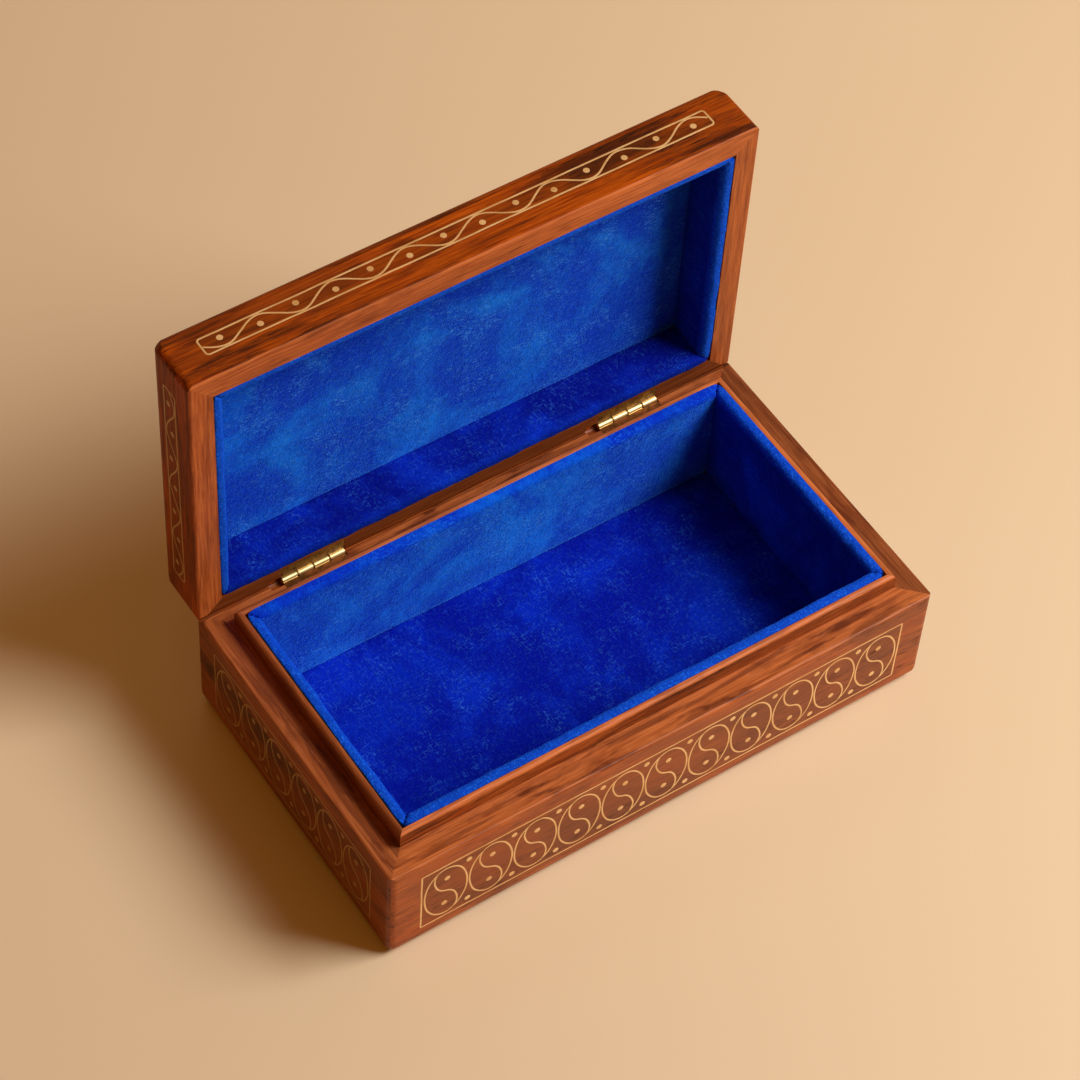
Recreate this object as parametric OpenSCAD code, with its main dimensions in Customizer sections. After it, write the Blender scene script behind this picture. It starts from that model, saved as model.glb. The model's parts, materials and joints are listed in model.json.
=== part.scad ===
// Rosewood trinket box with brass wire inlay and a velvet lining, shown with its lid open.
// Frame: X along the length, Y from front to back, Z up, origin at the centre of the underside.
// The lid is drawn closed and then swung open about the hinge axis by the open() module.

/* [Box] */
// Length of the box
box_l = 180; // [150:1:240]
// Depth of the box from front to back
box_d = 102; // [85:1:140]
// Height of the base up to its rim
base_h = 38.5; // [34:0.5:60]
// Height of the lid
lid_h = 20.5; // [18:0.5:30]
// Thickness of the base walls, which is the width of the ledge round the lip
wall_t = 7.9; // [6:0.1:10]
// Thickness of the lid walls
lid_wall_t = 7.4; // [5.5:0.1:9.5]
// Thickness of the bottom board
bottom_t = 4.5; // [3:0.1:6]
// Thickness of the lid's top board
lid_top_t = 4; // [3:0.1:6]

/* [Lip and lining] */
// Thickness of the lip strips inside the base walls
lip_t = 2; // [1.2:0.1:3]
// Height of the lip above the base rim
lip_h = 5.2; // [3:0.1:7]
// Thickness of the lined wall cards
lining_t = 3; // [1.5:0.1:4]
// Thickness of the lined floor card
floor_lining_t = 2.5; // [1.5:0.1:4]
// Thickness of the lined card under the lid's top board
ceiling_lining_t = 2; // [1.5:0.1:3]
// Depth below the lid's rim at which the lined cards in the lid begin
lid_lining_drop = 7; // [6:0.1:9]

/* [Edges] */
// Radius of the upright corners
corner_r = 2.2; // [1:0.1:2.5]
// Radius of the edges round the underside
foot_r = 4; // [3:0.1:5]
// Radius of the edges round the rims
rim_r = 0.8; // [0.4:0.1:1.2]
// Radius of the edges round the lid's top
top_r = 5; // [3:0.1:6]
// Width of the 45 degree flats on the back edges, on which the open lid stops
stop_w = 2.2; // [1.8:0.1:2.4]
// Gap between the rims when the lid is closed
rim_gap = 0.2; // [0.15:0.05:0.4]
// Width by which the rims are eased along the hinge line
ease_w = 0.6; // [0.2:0.1:1]

/* [Hinges] */
// Distance of each hinge's middle from the middle of the box
hinge_x = 53.3; // [35:0.1:60]
// Length of a hinge
hinge_l = 20.4; // [16:0.1:25]
// Width of a hinge leaf from the pin's axis
leaf_w = 4.8; // [4:0.1:4.9]
// Thickness of a hinge leaf
leaf_t = 0.7; // [0.5:0.1:0.9]
// Outside radius of the hinge knuckles
knuckle_r = 1.3; // [1.1:0.05:1.4]
// Radius of the hinge pin
pin_r = 0.6; // [0.5:0.05:0.7]
// Number of knuckles on a hinge
knuckles = 4; // [4:2:6]

/* [Inlay] */
// Width of the inlaid wire
wire_w = 0.5; // [0.4:0.05:0.8]
// Depth to which wires are let in
wire_depth = 0.9; // [0.6:0.1:1.5]
// Radius of the inlaid brass pins
dot_r = 0.75; // [0.4:0.05:0.9]
// Distance from the box's ends to the inlaid panels
panel_margin = 10; // [8:0.5:16]
// Height of the inlaid panels on the base
panel_h = 25; // [20:0.1:28]
// Number of ovals along the front
front_ovals = 11; // [7:1:13]
// Number of ovals along each end
end_ovals = 6; // [4:1:8]
// Height of an oval as a share of its panel
oval_share = 0.9; // [0.7:0.01:0.92]
// Height of the inlaid band on the lid
band_h = 5.8; // [4:0.1:8]
// Length of one wave of the vine on the lid's front band
vine_pitch = 22.8; // [18:0.1:30]
// Number of ovals on the lid's top
top_ovals = 7; // [5:2:9]

/* [Hidden] */
$fn = 48;
eps = 0.01;
proud = 0.05;          // how far wires and pins stand out of the wood
hinge_play = 0.05;     // radial clearance of the lid's knuckles on the pin
knuckle_gap = 0.2;     // gap between neighbouring knuckles
cove_gap = 0.35;       // wood cleared round the knuckles
touch = 0.06;          // by which the corner ball is larger than one that just touches
pocket_l = 4;          // length of the open end of the mortise past each hinge
nail_head_r = 0.8;
nail_head_t = 0.3;
nail_r = 0.4;
nail_l = 5;
oval_steps = 28;
scroll_steps = 10;
scroll_start = 136;    // where the S leaves its oval, short of the oval's wire
vine_steps = 12;
end_space = 0.6;       // from a panel's end line to its first oval
oval_space = 0.2;      // between neighbouring ovals
top_oval_h = 32;
top_oval_w = 19.5;
axis_y = box_d / 2 - stop_w;
axis_z = base_h + rim_gap / 2;
lid_rim = base_h + rim_gap;
lid_top = lid_rim + lid_h;
inner_l = box_l - 2 * wall_t;
inner_d = box_d - 2 * wall_t;
cavity_l = inner_l - 2 * lip_t;
cavity_d = inner_d - 2 * lip_t;
lip_top = base_h + lip_h;
floor_z = bottom_t + floor_lining_t;
lid_inner_l = box_l - 2 * lid_wall_t;
lid_inner_d = box_d - 2 * lid_wall_t;
ceiling_z = lid_top - lid_top_t - ceiling_lining_t;
knuckle_l = (hinge_l - (knuckles - 1) * knuckle_gap) / knuckles;
panel_z = base_h / 2 + 0.2;
band_z = lid_rim + lid_h / 2;
front_panel_l = box_l - 2 * panel_margin;
end_panel_l = box_d - 2 * panel_margin;

BROWN = [0.42, 0.17, 0.07];
BRASS = [0.85, 0.65, 0.30];
VELVET = [0.03, 0.10, 0.62];

// ---- frames -------------------------------------------------------------------------------

// Swings the closed lid up and back by a quarter turn about the hinge axis.
module open() {
    translate([0, axis_y, axis_z]) rotate([-90, 0, 0]) translate([0, -axis_y, -axis_z]) children();
}

// Puts a flat drawing on an upright face: turn 0 is the front, -90 the left end.
module on_face(turn, reach, depth, out = proud) {
    rotate([0, 0, turn]) translate([0, -reach + depth, 0]) rotate([90, 0, 0])
        linear_extrude(depth + out) children();
}

// ---- wooden shells ------------------------------------------------------------------------

module corner_bit(r) {
    difference() {
        translate([-1, -1]) square(r + 1);
        translate([r, r]) circle(r);
    }
}

// Rectangle from (0, 0) to (w, h), with its lower and its upper corners rounded.
module rounded_plate(w, h, low_r, high_r) {
    difference() {
        square([w, h]);
        corner_bit(low_r);
        translate([w, 0]) mirror([1, 0]) corner_bit(low_r);
        translate([0, h]) mirror([0, 1]) corner_bit(high_r);
        translate([w, h]) mirror([1, 0]) mirror([0, 1]) corner_bit(high_r);
    }
}

// Wood sanded off the four corners that end at z = end, where edges of radius r meet. The ball
// touches the end face and the rounded upright edge.
module sanded_corners(end, r, upward) {
    ball = sqrt(2) * (r - corner_r) + corner_r;
    translate([0, 0, end]) for (x = [0, 1], y = [0, 1], z = [upward ? 1 : 0])
        mirror([x, 0, 0]) mirror([0, y, 0]) mirror([0, 0, z])
            translate([-box_l / 2, -box_d / 2, 0]) difference() {
                translate([-1, -1, -1]) cube([r + 0.7, r + 0.7, ball + 0.5]);
                translate([r, r, ball]) sphere(ball + touch);
            }
}

// Outside form of the base or the lid, from z = low to z = low + h.
module outer_form(low, h, low_r, high_r) {
    intersection() {
        translate([-box_l / 2, -box_d / 2, low]) linear_extrude(h)
            rounded_plate(box_l, box_d, corner_r, corner_r);
        translate([-box_l / 2, box_d / 2, low]) rotate([90, 0, 0]) linear_extrude(box_d)
            rounded_plate(box_l, h, low_r, high_r);
        translate([-box_l / 2, -box_d / 2, low]) rotate([90, 0, 90]) linear_extrude(box_l)
            rounded_plate(box_d, h, low_r, high_r);
    }
}

module base_form() {
    difference() {
        outer_form(0, base_h, foot_r, rim_r);
        sanded_corners(0, foot_r, false);
    }
}

module lid_form() {
    difference() {
        outer_form(lid_rim, lid_h, rim_r, top_r);
        sanded_corners(lid_top, top_r, true);
    }
}

// Long or short side of a mitred frame, seen from above, with its outside on y = -d / 2.
module mitred(l, d, t) {
    polygon([[-l / 2, -d / 2], [l / 2, -d / 2], [l / 2 - t, -d / 2 + t], [-l / 2 + t, -d / 2 + t]]);
}

// The four sides of a frame: 0 front, 1 right, 2 back, 3 left.
module frame_side(side, l, d, t, low, h) {
    turned = side % 2 == 1;
    rotate([0, 0, 90 * side]) translate([0, 0, low]) linear_extrude(h)
        mitred(turned ? d : l, turned ? l : d, t);
}

// Prism cut off a back edge to make the flat on which the open lid stops. The rim is eased where
// the flat begins.
module stop_cut(z, up) {
    reach = stop_w + 2;
    translate([-box_l / 2 - 1, axis_y, z]) rotate([90, 0, 90]) linear_extrude(box_l + 2)
        polygon([[-ease_w, 0], [0, -up * ease_w], [ease_w, -up * ease_w], [reach, -up * reach],
            [reach, up * 2], [-ease_w, up * 2]]);
}

module base_board(side) {
    difference() {
        intersection() {
            base_form();
            frame_side(side, box_l, box_d, wall_t, -1, base_h + 2);
        }
        stop_cut(base_h, 1);
    }
}

module lid_board(side) {
    difference() {
        intersection() {
            lid_form();
            frame_side(side, box_l, box_d, lid_wall_t, lid_rim - 1, lid_h - lid_top_t + 1);
        }
        stop_cut(lid_rim, -1);
    }
}

module knuckle_cove(left) {
    translate([left - pocket_l, axis_y, axis_z]) rotate([0, 90, 0])
        cylinder(r = knuckle_r + cove_gap, h = hinge_l + pocket_l + cove_gap);
}

// Wood removed from both rims for one hinge, in the closed box.
module hinge_mortise(left, low) {
    knuckle_cove(left);
    translate([left, axis_y - leaf_w, low]) cube([hinge_l, leaf_w + eps, leaf_t + 1]);
}

hinge_lefts = [-hinge_x - hinge_l / 2, hinge_x - hinge_l / 2];

module base_bottom_board() {
    color(BROWN) translate([-inner_l / 2, -inner_d / 2, 0]) cube([inner_l, inner_d, bottom_t]);
}

module base_front_board() { color(BROWN) base_board(0); }
module base_right_board() { color(BROWN) base_board(1); }
module base_left_board() { color(BROWN) base_board(3); }

module base_back_board() {
    color(BROWN) difference() {
        base_board(2);
        for (left = hinge_lefts) hinge_mortise(left, base_h - leaf_t);
        nails_in_base();
    }
}

module lip(side) {
    color([0.50, 0.22, 0.09])
        frame_side(side, inner_l, inner_d, lip_t, bottom_t, lip_top - bottom_t);
}

module lid_top_board() {
    color(BROWN) open() intersection() {
        lid_form();
        translate([-box_l / 2, -box_d / 2, lid_top - lid_top_t]) cube([box_l, box_d, lid_top_t]);
    }
}

module lid_front_board() { color(BROWN) open() lid_board(0); }
module lid_right_board() { color(BROWN) open() lid_board(1); }
module lid_left_board() { color(BROWN) open() lid_board(3); }

module lid_back_board() {
    color(BROWN) open() difference() {
        lid_board(2);
        for (left = hinge_lefts) hinge_mortise(left, lid_rim - 1);
        nails_in_lid();
    }
}

// ---- lining -------------------------------------------------------------------------------

// Lined card standing along a wall of a room l by d: long walls run the full length.
module wall_card(side, l, d, t, low, high) {
    turned = side % 2 == 1;
    run = turned ? d - 2 * t : l;
    reach = turned ? l / 2 : d / 2;
    color(VELVET) rotate([0, 0, 90 * side]) translate([-run / 2, -reach, low])
        cube([run, t, high - low]);
}

module base_floor_lining() {
    color(VELVET) translate([-cavity_l / 2, -cavity_d / 2, bottom_t])
        cube([cavity_l, cavity_d, floor_lining_t]);
}

module base_lining(side) { wall_card(side, cavity_l, cavity_d, lining_t, floor_z, lip_top); }

module lid_ceiling_lining() {
    color(VELVET) open() translate([-lid_inner_l / 2, -lid_inner_d / 2, ceiling_z])
        cube([lid_inner_l, lid_inner_d, ceiling_lining_t]);
}

module lid_lining(side) {
    open() wall_card(side, lid_inner_l, lid_inner_d, lining_t, lid_rim + lid_lining_drop, ceiling_z);
}

// ---- hinges -------------------------------------------------------------------------------

// One leaf with its knuckles, in the closed box; first says which knuckle is its own.
module leaf(left, low, first, bore_r) {
    difference() {
        union() {
            translate([left, axis_y - leaf_w, low]) cube([hinge_l, leaf_w, leaf_t]);
            for (k = [first:2:knuckles - 1])
                translate([left + k * (knuckle_l + knuckle_gap), axis_y, axis_z])
                    rotate([0, 90, 0]) cylinder(r = knuckle_r, h = knuckle_l);
        }
        for (k = [1 - first:2:knuckles - 1])
            translate([left + k * (knuckle_l + knuckle_gap) - knuckle_gap, axis_y, axis_z])
                rotate([0, 90, 0])
                    cylinder(r = knuckle_r + 0.15, h = knuckle_l + 2 * knuckle_gap);
        translate([left - 1, axis_y, axis_z]) rotate([0, 90, 0])
            cylinder(r = bore_r, h = hinge_l + 2);
    }
}

// Nails through a leaf; up is 1 when the wood lies above it.
module leaf_nails(face_z, up) {
    for (left = hinge_lefts, share = [0.16, 0.5, 0.84])
        translate([left + share * hinge_l, axis_y - 0.62 * leaf_w, face_z])
            mirror([0, 0, up > 0 ? 0 : 1]) {
                cylinder(r = nail_head_r, h = nail_head_t);
                cylinder(r = nail_r, h = nail_l);
            }
}

module nails_in_base() { leaf_nails(base_h, -1); }
module nails_in_lid() { leaf_nails(lid_rim, 1); }

module base_leaf(left) {
    color(BRASS) difference() {
        leaf(left, base_h - leaf_t, 0, pin_r);
        nails_in_base();
    }
}

module lid_leaf(left) {
    color(BRASS) open() difference() {
        leaf(left, lid_rim, 1, pin_r + hinge_play);
        nails_in_lid();
    }
}

module hinge_pin(left) {
    color(BRASS) translate([left, axis_y, axis_z]) rotate([0, 90, 0])
        cylinder(r = pin_r, h = hinge_l);
}

module base_leaf_nails() { color(BRASS) nails_in_base(); }
module lid_leaf_nails() { color(BRASS) open() nails_in_lid(); }

// ---- inlay drawings -----------------------------------------------------------------------

function oval(a, b) = [for (i = [0:oval_steps - 1])
    [a * cos(360 * i / oval_steps), b * sin(360 * i / oval_steps)]];

// Outline of a line of width w along the points p.
function side_of(p, i) = let (d = p[min(i + 1, len(p) - 1)] - p[max(i - 1, 0)]) [-d[1], d[0]] / norm(d);
function stroke(p, w) = concat(
    [for (i = [0:len(p) - 1]) p[i] + side_of(p, i) * w / 2],
    [for (i = [len(p) - 1:-1:0]) p[i] - side_of(p, i) * w / 2]);

// The S inside an oval: the left half of a small upper oval, then the right half of a lower one.
function half_scroll(a, b, i) = let (t = scroll_start + (270 - scroll_start) * i / scroll_steps)
    [a / 2 * cos(t), b / 2 + b / 2 * sin(t)];
function scroll(a, b) = concat(
    [for (i = [0:scroll_steps]) half_scroll(a, b, i)],
    [for (i = [scroll_steps - 1:-1:0]) -half_scroll(a, b, i)]);

function vine(l, h, pitch) = let (n = round(l / pitch * vine_steps))
    [for (i = [0:n]) [-l / 2 + i * l / n, -h / 2 * sin(360 * i * l / n / pitch)]];

module border(l, h) {
    difference() {
        square([l + wire_w, h + wire_w], center = true);
        square([l - wire_w, h - wire_w], center = true);
    }
}

module oval_scroll(a, b) {
    difference() {
        polygon(oval(a, b));
        polygon(oval(a - wire_w, b - wire_w));
    }
    polygon(stroke(scroll(a - wire_w / 2, b - wire_w / 2), wire_w));
}

module dot(x, y) { translate([x, y]) circle(dot_r, $fn = 16); }

// Row of n ovals in a panel of length l, each b high from its middle.
module scroll_row(l, b, n) {
    pitch = (l - 2 * end_space) / n;
    for (i = [0:n - 1]) translate([(i - (n - 1) / 2) * pitch, 0])
        oval_scroll(pitch / 2 - oval_space / 2, b);
}

module scroll_row_dots(l, b, n) {
    pitch = (l - 2 * end_space) / n;
    for (i = [0:n - 1], v = [-0.54, 0.54]) dot((i - (n - 1) / 2) * pitch, v * b);
    for (i = [1:n - 1], v = [-0.89, 0.89]) dot((i - n / 2) * pitch, v * b);
}

// Band with a vine between its two lines and a pin in each of the vine's pockets.
module vine_line(l) {
    reach = band_h - 2.6 * wire_w;
    polygon(stroke(vine(l - 2 * wire_w, reach, vine_pitch * (l - 2 * wire_w) / l), wire_w));
}

module vine_dots(l) {
    n = round(2 * l / vine_pitch);
    for (i = [0:n - 1]) dot(-l / 2 + (i + 0.5) * l / n, (i % 2 == 0 ? 1 : -1) * 0.12 * band_h);
}

// ---- inlay on the faces: front 0, back 180, left -90, right 90 ------------------------------

function half_reach(turn) = abs(turn) == 90 ? box_l / 2 : box_d / 2;
function run(turn) = abs(turn) == 90 ? end_panel_l : front_panel_l;
function ovals(turn) = abs(turn) == 90 ? end_ovals : front_ovals;
function vine_run(turn) = round(run(turn) / vine_pitch * 2) * vine_pitch / 2;

module base_border(turn) {
    color(BRASS) translate([0, 0, panel_z]) on_face(turn, half_reach(turn), wire_depth)
        border(run(turn), panel_h);
}

module base_scrolls(turn) {
    color(BRASS) translate([0, 0, panel_z]) on_face(turn, half_reach(turn), wire_depth)
        scroll_row(run(turn), panel_h * oval_share / 2, ovals(turn));
}

module base_pins(turn) {
    color(BRASS) translate([0, 0, panel_z]) on_face(turn, half_reach(turn), 2 * wire_depth)
        scroll_row_dots(run(turn), panel_h * oval_share / 2, ovals(turn));
}

module lid_border(turn) {
    color(BRASS) open() translate([0, 0, band_z]) on_face(turn, half_reach(turn), wire_depth)
        border(vine_run(turn), band_h);
}

module lid_vine(turn) {
    color(BRASS) open() translate([0, 0, band_z]) on_face(turn, half_reach(turn), wire_depth)
        vine_line(vine_run(turn));
}

module lid_pins(turn) {
    color(BRASS) open() translate([0, 0, band_z]) on_face(turn, half_reach(turn), 2 * wire_depth)
        vine_dots(vine_run(turn));
}

module on_top(depth) {
    open() translate([0, 0, lid_top - depth]) linear_extrude(depth + proud) children();
}

module lid_top_border() {
    color(BRASS) on_top(wire_depth) {
        border(front_panel_l, end_panel_l);
        border(top_ovals * top_oval_w + 2 * end_space, top_oval_h / oval_share);
    }
}

module lid_top_scrolls() {
    color(BRASS) on_top(wire_depth)
        scroll_row(top_ovals * top_oval_w + 2 * end_space, top_oval_h / 2, top_ovals);
}

module lid_top_pins() {
    color(BRASS) on_top(2 * wire_depth)
        scroll_row_dots(top_ovals * top_oval_w + 2 * end_space, top_oval_h / 2, top_ovals);
}

base_bottom_board();
base_front_board();
base_back_board();
base_left_board();
base_right_board();
lip(0);  // lip_front
lip(1);  // lip_right
lip(2);  // lip_back
lip(3);  // lip_left
base_floor_lining();
base_lining(0);  // base_front_lining
base_lining(1);  // base_right_lining
base_lining(2);  // base_back_lining
base_lining(3);  // base_left_lining
base_border(0);  // base_front_border
base_scrolls(0);  // base_front_scrolls
base_pins(0);  // base_front_pins
base_border(180);  // base_back_border
base_scrolls(180);  // base_back_scrolls
base_pins(180);  // base_back_pins
base_border(-90);  // base_left_border
base_scrolls(-90);  // base_left_scrolls
base_pins(-90);  // base_left_pins
base_border(90);  // base_right_border
base_scrolls(90);  // base_right_scrolls
base_pins(90);  // base_right_pins
base_leaf(hinge_lefts[0]);  // base_leaf_left
base_leaf(hinge_lefts[1]);  // base_leaf_right
hinge_pin(hinge_lefts[0]);  // hinge_pin_left
hinge_pin(hinge_lefts[1]);  // hinge_pin_right
base_leaf_nails();
lid_top_board();
lid_front_board();
lid_back_board();
lid_left_board();
lid_right_board();
lid_ceiling_lining();
lid_lining(0);  // lid_front_lining
lid_lining(1);  // lid_right_lining
lid_lining(2);  // lid_back_lining
lid_lining(3);  // lid_left_lining
lid_border(0);  // lid_front_border
lid_vine(0);  // lid_front_vine
lid_pins(0);  // lid_front_pins
lid_border(180);  // lid_back_border
lid_vine(180);  // lid_back_vine
lid_pins(180);  // lid_back_pins
lid_border(-90);  // lid_left_border
lid_vine(-90);  // lid_left_vine
lid_pins(-90);  // lid_left_pins
lid_border(90);  // lid_right_border
lid_vine(90);  // lid_right_vine
lid_pins(90);  // lid_right_pins
lid_top_border();
lid_top_scrolls();
lid_top_pins();
lid_leaf(hinge_lefts[0]);  // lid_leaf_left
lid_leaf(hinge_lefts[1]);  // lid_leaf_right
lid_leaf_nails();
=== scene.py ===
import json
import math

import bmesh
import bpy
from mathutils import Matrix, Vector, geometry, noise


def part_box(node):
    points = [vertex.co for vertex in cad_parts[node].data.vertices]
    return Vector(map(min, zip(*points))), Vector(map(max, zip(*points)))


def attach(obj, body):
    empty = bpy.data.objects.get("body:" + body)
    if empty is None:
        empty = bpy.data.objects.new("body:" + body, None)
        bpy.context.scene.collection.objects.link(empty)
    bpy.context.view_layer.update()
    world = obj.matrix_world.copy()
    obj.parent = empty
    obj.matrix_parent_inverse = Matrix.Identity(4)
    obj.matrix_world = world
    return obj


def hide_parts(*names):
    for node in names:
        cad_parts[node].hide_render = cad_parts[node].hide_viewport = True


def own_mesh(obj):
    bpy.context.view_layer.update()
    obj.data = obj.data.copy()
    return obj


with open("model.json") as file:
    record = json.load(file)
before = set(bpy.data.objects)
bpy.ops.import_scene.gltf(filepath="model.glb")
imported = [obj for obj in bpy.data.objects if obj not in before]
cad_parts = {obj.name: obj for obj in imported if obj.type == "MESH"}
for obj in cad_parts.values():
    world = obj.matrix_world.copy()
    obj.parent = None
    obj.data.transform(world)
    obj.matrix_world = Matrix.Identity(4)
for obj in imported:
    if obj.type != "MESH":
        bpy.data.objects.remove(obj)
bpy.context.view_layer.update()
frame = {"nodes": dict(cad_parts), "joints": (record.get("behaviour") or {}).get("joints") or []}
nodes = frame["nodes"]
MM = 0.001

# ---- view, floor and light -----------------------------------------------------------------
# The box stands on a pale table top. A large soft lamp stands to its right and a little in front,
# and a faint warm one behind it.

AIM = Vector((16.13, 36.5, 16.53)) * MM
AZIMUTH, ELEVATION, ROLL = math.radians(-36.82), math.radians(52.60), math.radians(4.27)
DISTANCE = 1.0425
LENS = 119.57
FLOOR_HALF = 3.0

back = Vector((math.sin(AZIMUTH) * math.cos(ELEVATION),
               -math.cos(AZIMUTH) * math.cos(ELEVATION), math.sin(ELEVATION)))
right = (-back).cross(Vector((0, 0, 1))).normalized()
up = back.cross(right)
camera = bpy.data.objects.new("camera", bpy.data.cameras.new("camera"))
camera.data.lens = LENS
camera.data.clip_start = 0.05
level_right = right * math.cos(ROLL) + up * math.sin(ROLL)
level_up = up * math.cos(ROLL) - right * math.sin(ROLL)
turned = Matrix((level_right, level_up, back)).transposed().to_4x4()
camera.matrix_world = Matrix.Translation(AIM + back * DISTANCE) @ turned
bpy.context.scene.collection.objects.link(camera)
bpy.context.scene.camera = camera
bpy.context.scene.view_settings.view_transform = "Standard"


class Signal:
    """What a node puts out. Arithmetic on it adds Math nodes, and node() adds any other node."""

    def __init__(self, tree, socket=None):
        self.tree, self.socket = tree, socket

    def node(self, kind, settings=None, sockets=None, out=0):
        made = self.tree.nodes.new(kind)
        for name, value in (settings or {}).items():
            setattr(made, name, value)
        for name, value in (sockets or {}).items():
            if isinstance(value, Signal):
                self.tree.links.new(value.socket, made.inputs[name])
            else:
                made.inputs[name].default_value = value
        return Signal(self.tree, made.outputs[out])

    def maths(self, operation, *values):
        return self.node("ShaderNodeMath", {"operation": operation},
                         dict(enumerate((self, *values))))

    def __add__(self, other):
        return self.maths("ADD", other)

    def __sub__(self, other):
        return self.maths("SUBTRACT", other)

    def __rsub__(self, other):
        return self.node("ShaderNodeMath", {"operation": "SUBTRACT"}, {0: other, 1: self})

    def __mul__(self, other):
        return self.maths("MULTIPLY", other)

    def __pow__(self, other):
        return self.maths("POWER", other)

    __radd__, __rmul__ = __add__, __mul__

    def between(self, low, high):
        """0 below low, 1 above high, smooth between them."""
        return self.node("ShaderNodeMapRange", {"interpolation_type": "SMOOTHSTEP"},
                         {"Value": self, "From Min": low, "From Max": high})

    def placed(self, scale=(1, 1, 1), shift=(0, 0, 0), turn=(0, 0, 0)):
        return self.node("ShaderNodeMapping", {},
                         {"Vector": self, "Location": shift, "Scale": scale, "Rotation": turn})

    def cloud(self, scale, detail=2.0, roughness=0.5, distortion=0.0):
        return self.node("ShaderNodeTexNoise", {},
                         {"Vector": self, "Scale": scale, "Detail": detail,
                          "Roughness": roughness, "Distortion": distortion})

    def axis(self, which):
        return self.node("ShaderNodeSeparateXYZ", {}, {"Vector": self}, which)

    def mix(self, first, second):
        """The first colour where this signal is 0, the second where it is 1."""
        first, second = ((*shade, 1) if isinstance(shade, tuple) else shade
                         for shade in (first, second))
        return self.node("ShaderNodeMix", {"data_type": "RGBA"}, {0: self, 6: first, 7: second}, 2)


def finish(name, **constants):
    """A new material, its Object coordinates, and its shader with the constants set on it."""
    material = bpy.data.materials.new(name)
    material.use_nodes = True
    shader = material.node_tree.nodes["Principled BSDF"]
    for socket, value in constants.items():
        shader.inputs[socket.replace("_", " ")].default_value = value
    place = Signal(material.node_tree).node("ShaderNodeTexCoord", {}, {}, "Object")
    return material, place, shader


def feed(shader, **signals):
    """Leads signals to the shader's sockets."""
    for socket, signal in signals.items():
        signal.tree.links.new(signal.socket, shader.inputs[socket.replace("_", " ")])


def bump(height, strength, distance):
    return height.node("ShaderNodeBump", {},
                       {"Height": height, "Strength": strength, "Distance": distance})


stone, place, shader = finish("pale_table_top", Roughness=0.42)
cloudy = place.cloud(2.2, 3.0).between(0.3, 0.7)
feed(shader, Base_Color=cloudy.mix((0.79, 0.61, 0.40), (0.81, 0.635, 0.425)))
bm = bmesh.new()
bmesh.ops.create_grid(bm, x_segments=1, y_segments=1, size=FLOOR_HALF)
table_top = bpy.data.objects.new("table_top", bpy.data.meshes.new("table_top"))
bm.to_mesh(table_top.data)
bm.free()
table_top.data.materials.append(stone)
bpy.context.scene.collection.objects.link(table_top)


def lamp(name, watts, size, place, aim, colour):
    made = bpy.data.objects.new(name, bpy.data.lights.new(name, "AREA"))
    made.data.energy, made.data.size, made.data.color = watts, size, colour
    made.location = place
    made.rotation_euler = (Vector(place) - Vector(aim)).to_track_quat("Z", "Y").to_euler()
    bpy.context.scene.collection.objects.link(made)


lamp("key_lamp", 16.5, 0.62, (0.706, -0.490, 0.935), (0, 0, 0), (1.0, 0.985, 0.95))
lamp("back_lamp", 1.4, 1.1, (0.35, 1.25, 1.1), (0, 0.05, 0.05), (1.0, 0.80, 0.55))
world = bpy.data.worlds.new("soft_room")
world.use_nodes = True
world.node_tree.nodes["Background"].inputs["Color"].default_value = (1.0, 0.42, 0.06, 1)
world.node_tree.nodes["Background"].inputs["Strength"].default_value = 0.22
bpy.context.scene.world = world

# ---- rosewood boards -----------------------------------------------------------------------
# Base and lid are frames of planed rosewood boards, mitred and glued at their corners, with a
# thin bottom and top let in. All are sanded round at the edges and finished with shellac.

base_rim_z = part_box("base_front_board")[1].z
lid_rim_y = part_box("lid_left_board")[0].y
GRAIN_TURNS = {"x": (0, 0, 0), "y": (0, 0, math.radians(90)), "z": (0, math.radians(90), 0)}
WIRE_DEEP = 1.0 * MM
EDGE_BAND, EDGE_CORE = 0.7 * MM, 0.25 * MM
POLISHED = (0.300, 0.064, 0.0105), (0.530, 0.128, 0.0210), 0.24
OILED = (0.310, 0.040, 0.0008), (0.680, 0.124, 0.0030), 0.10


def tinted(colour, tone):
    """The colour made lighter or darker."""
    return colour.node("ShaderNodeVectorMath", {"operation": "SCALE"},
                       {"Vector": colour, "Scale": tone})


def within(place, box):
    """1 inside the outline of a flat box, 0 outside it."""
    lo, hi = box
    inside = []
    for axis in range(3):
        half = (hi[axis] - lo[axis]) / 2
        if half > WIRE_DEEP:
            off = place.axis(axis) - (lo[axis] + hi[axis]) / 2
            inside.append(off.maths("ABSOLUTE").between(half, half - 0.5 * MM))
    return inside[0] * inside[1]


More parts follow.
